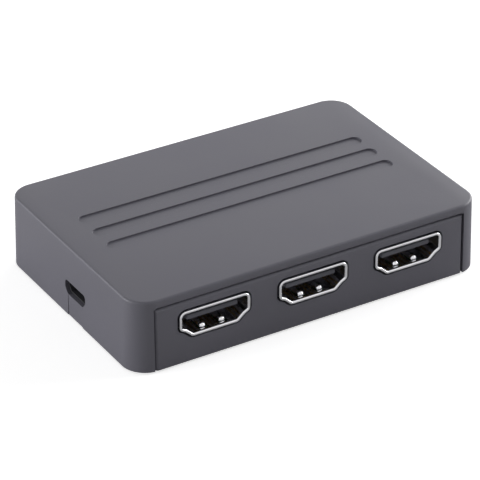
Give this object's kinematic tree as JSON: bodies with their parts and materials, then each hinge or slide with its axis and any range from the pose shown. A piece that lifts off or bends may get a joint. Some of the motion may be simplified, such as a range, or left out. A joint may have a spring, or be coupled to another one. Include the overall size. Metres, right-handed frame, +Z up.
{
  "type": "video switch box",
  "caption": "Flat dark grey plastic box with a row of video sockets along one long side, a small power inlet at one end and a push button behind.",
  "frame": {"origin": "on the surface that the box stands on, under the middle of its case", "axes": "+X runs along the box's long side, -Y is the side with the three input sockets, +Y the side with the output socket and the button, and +Z is up"},
  "size_m": [0.0774, 0.0516, 0.0154],
  "materials": {
    "case_plastic": "moulded dark grey plastic with a fine satin grain",
    "button_plastic": "moulded near-black plastic, satin",
    "board_laminate": "green solder mask on glass-fibre laminate",
    "socket_steel": "bright nickel-plated pressed steel",
    "insulator_plastic": "black moulded insulator",
    "contact_brass": "gold-flashed copper alloy",
    "lead_tin": "tinned copper alloy",
    "chip_epoxy": "moulded epoxy",
    "component_steel": "pressed steel sheet",
    "can_aluminium": "drawn aluminium can",
    "small_ceramic": "fired ceramic blocks",
    "lamp_epoxy": "clear cast epoxy",
    "screw_steel": "zinc-plated steel",
    "foot_rubber": "dull black rubber"
  },
  "bodies": {
    "root": {"base_tray": "case_plastic", "bulk_capacitor_base": "insulator_plastic", "bulk_capacitor_can": "can_aluminium", "case_screws": "screw_steel", "ceramic_capacitors": "small_ceramic", "chip_resistors": "small_ceramic", "circuit_board": "board_laminate", "control_chip": "chip_epoxy", "control_chip_leads": "lead_tin", "crystal": "component_steel", "foot_1": "foot_rubber", "foot_2": "foot_rubber", "foot_3": "foot_rubber", "foot_4": "foot_rubber", "front_panel": "case_plastic", "jack_body": "insulator_plastic", "jack_contacts": "contact_brass", "lamp_1": "lamp_epoxy", "lamp_2": "lamp_epoxy", "lamp_3": "lamp_epoxy", "lamp_leads": "lead_tin", "memory_chip_leads": "lead_tin", "memory_chips": "chip_epoxy", "power_socket_contacts": "contact_brass", "power_socket_insulator": "insulator_plastic", "power_socket_shell": "insulator_plastic", "rear_panel": "case_plastic", "regulator": "chip_epoxy", "regulator_leads": "lead_tin", "switch_body": "insulator_plastic", "switch_chip": "chip_epoxy", "switch_chip_leads": "lead_tin", "switch_cover": "component_steel", "switch_dome": "component_steel", "switch_terminals": "contact_brass", "top_cover": "case_plastic", "video_in_1_contacts": "contact_brass", "video_in_1_insulator": "insulator_plastic", "video_in_1_shell": "socket_steel", "video_in_2_contacts": "contact_brass", "video_in_2_insulator": "insulator_plastic", "video_in_2_shell": "socket_steel", "video_in_3_contacts": "contact_brass", "video_in_3_insulator": "insulator_plastic", "video_in_3_shell": "socket_steel", "video_out_contacts": "contact_brass", "video_out_insulator": "insulator_plastic", "video_out_shell": "socket_steel"},
    "select_button_body": {"select_button": "button_plastic", "switch_plunger": "insulator_plastic"}
  },
  "joints": [
    {"name": "select_button_press", "type": "slide", "parent": "root", "child": "select_button_body", "axis": [0, -1, 0], "range_m": [0, 0.0003], "stiffness_N_per_m": 4000, "springref_m": -0.0002}
  ]
}
